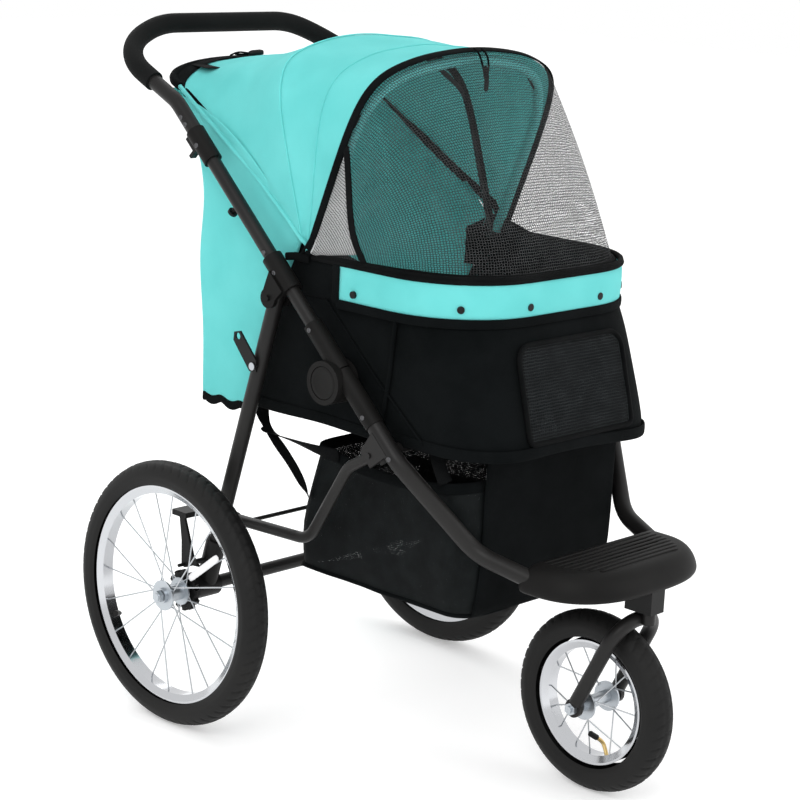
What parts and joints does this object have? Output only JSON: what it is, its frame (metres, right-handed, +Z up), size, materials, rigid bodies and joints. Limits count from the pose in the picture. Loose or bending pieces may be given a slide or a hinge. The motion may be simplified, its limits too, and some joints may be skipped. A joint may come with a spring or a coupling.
{
  "type": "pet stroller",
  "caption": "Folding three-wheel pet stroller with a fabric cabin, fold-back canopy with mesh window, storage basket, footrest, swivelling front wheel and spoked wheels.",
  "frame": {"origin": "middle of the rectangle that the stroller covers on the floor", "axes": "+Z up, front towards -Y, the stroller's own right towards -X"},
  "size_m": [0.628, 0.9324, 0.9945],
  "materials": {
    "frame_black": "satin black powder coat",
    "tyre_rubber": "matt rubber with a low tread",
    "rim_chrome": "polished",
    "spoke_steel": "plated wire",
    "zinc_steel": "zinc plated",
    "grip_foam": "fine closed-cell foam",
    "black_plastic": "fine moulded grain",
    "teal_fabric": "plain woven polyester",
    "black_fabric": "plain woven polyester",
    "black_mesh": "open knitted mesh"
  },
  "bodies": {
    "rear_frame": {"rear_leg_right": "frame_black", "rear_leg_left": "frame_black", "axle_tube": "frame_black", "wheel_axles": "zinc_steel", "axle_bracket_right": "black_plastic", "axle_bracket_left": "black_plastic", "latch_pin": "frame_black"},
    "upper_frame": {"upper_tube_right": "frame_black", "upper_tube_left": "frame_black", "handle_bar": "frame_black", "handle_grip": "grip_foam", "collar_right": "black_plastic", "collar_left": "black_plastic", "leg_bracket_right": "black_plastic", "leg_bracket_left": "black_plastic", "hinge_upper_right": "black_plastic", "hinge_upper_left": "black_plastic", "hinge_pins": "zinc_steel", "latch_post": "black_plastic"},
    "front_frame": {"front_tube_right": "frame_black", "front_tube_left": "frame_black", "hinge_lower_right": "black_plastic", "hinge_lower_left": "black_plastic", "footrest": "black_plastic", "headset": "black_plastic", "cabin_tub": "black_fabric", "cabin_rim": "teal_fabric", "band_snaps": "black_plastic", "rear_panel": "teal_fabric", "floor_board": "black_fabric", "cushion": "black_fabric", "tray_frame": "frame_black", "basket": "black_mesh", "canopy_top": "teal_fabric"},
    "links": {"link_right": "frame_black", "link_left": "frame_black", "cross_rod": "frame_black"},
    "canopy": {"front_hoop": "frame_black", "mesh_window": "black_mesh"},
    "canopy_mid": {"mid_hoop": "frame_black"},
    "trigger_right": {"fold_trigger_right": "black_plastic"},
    "trigger_left": {"fold_trigger_left": "black_plastic"},
    "pedal_right": {"brake_pedal_right": "black_plastic"},
    "pedal_left": {"brake_pedal_left": "black_plastic"},
    "storage_latch": {"storage_latch": "black_plastic"},
    "swivel_lock": {"swivel_lock": "black_plastic"},
    "fork": {"fork": "frame_black", "front_axle": "zinc_steel"},
    "front_wheel": {"front_wheel_tyre": "tyre_rubber", "front_wheel_rim": "rim_chrome", "front_wheel_hub": "zinc_steel", "front_wheel_spokes": "spoke_steel"},
    "rear_wheel_right": {"rear_wheel_right_tyre": "tyre_rubber", "rear_wheel_right_rim": "rim_chrome", "rear_wheel_right_hub": "zinc_steel", "rear_wheel_right_spokes": "spoke_steel"},
    "rear_wheel_left": {"rear_wheel_left_tyre": "tyre_rubber", "rear_wheel_left_rim": "rim_chrome", "rear_wheel_left_hub": "zinc_steel", "rear_wheel_left_spokes": "spoke_steel"}
  },
  "joints": [
    {"name": "leg_fold", "type": "hinge", "parent": "rear_frame", "child": "upper_frame", "pos_m": [0, 0.0838, 0.64], "axis": [1, 0, 0], "range_deg": [-47.6, 0]},
    {"name": "main_fold", "type": "hinge", "parent": "upper_frame", "child": "front_frame", "pos_m": [0, -0.0332, 0.544], "axis": [1, 0, 0], "range_deg": [0, 100]},
    {"name": "link_fold", "type": "hinge", "parent": "front_frame", "child": "links", "pos_m": [0, -0.1152, 0.46], "axis": [1, 0, 0], "range_deg": [-70.6, 0]},
    {"name": "canopy_fold", "type": "hinge", "parent": "front_frame", "child": "canopy", "pos_m": [0, 0.0508, 0.698], "axis": [1, 0, 0], "range_deg": [-70, 0], "deforming": ["canopy_top"]},
    {"name": "canopy_mid_fold", "type": "hinge", "parent": "front_frame", "child": "canopy_mid", "pos_m": [0, 0.0508, 0.698], "axis": [1, 0, 0], "range_deg": [-33, 0]},
    {"name": "trigger_right_slide", "type": "slide", "parent": "upper_frame", "child": "trigger_right", "axis": [0, 0.7325, 0.6807], "range_m": [0, 0.01], "stiffness_N_per_m": 150},
    {"name": "trigger_left_slide", "type": "slide", "parent": "upper_frame", "child": "trigger_left", "axis": [0, 0.7325, 0.6807], "range_m": [0, 0.01], "stiffness_N_per_m": 150},
    {"name": "pedal_right_press", "type": "hinge", "parent": "rear_frame", "child": "pedal_right", "pos_m": [-0.2505, 0.2028, 0.237], "axis": [1, 0, 0], "range_deg": [-15, 0]},
    {"name": "pedal_left_press", "type": "hinge", "parent": "rear_frame", "child": "pedal_left", "pos_m": [0.2505, 0.2028, 0.237], "axis": [1, 0, 0], "range_deg": [-15, 0]},
    {"name": "storage_latch_turn", "type": "hinge", "parent": "rear_frame", "child": "storage_latch", "pos_m": [-0.236, 0.1098, 0.54], "axis": [1, 0, 0], "range_deg": [-25, 35]},
    {"name": "swivel_lock_slide", "type": "slide", "parent": "front_frame", "child": "swivel_lock", "axis": [0, 0, -1], "range_m": [0, 0.008]},
    {"name": "fork_swivel", "type": "hinge", "parent": "front_frame", "child": "fork", "pos_m": [0, -0.4192, 0.29], "axis": [0, 0, 1], "continuous": true},
    {"name": "front_wheel_spin", "type": "hinge", "parent": "fork", "child": "front_wheel", "pos_m": [0, -0.3392, 0.127], "axis": [1, 0, 0], "continuous": true},
    {"name": "rear_wheel_right_spin", "type": "hinge", "parent": "rear_frame", "child": "rear_wheel_right", "pos_m": [-0.283, 0.2158, 0.193], "axis": [1, 0, 0], "continuous": true},
    {"name": "rear_wheel_left_spin", "type": "hinge", "parent": "rear_frame", "child": "rear_wheel_left", "pos_m": [0.283, 0.2158, 0.193], "axis": [1, 0, 0], "continuous": true}
  ],
  "couplings": [
    {"joint": "leg_fold", "follows": "main_fold", "ratio": -0.476},
    {"joint": "link_fold", "follows": "main_fold", "ratio": -0.706},
    {"joint": "canopy_mid_fold", "follows": "canopy_fold", "ratio": 0.47}
  ]
}
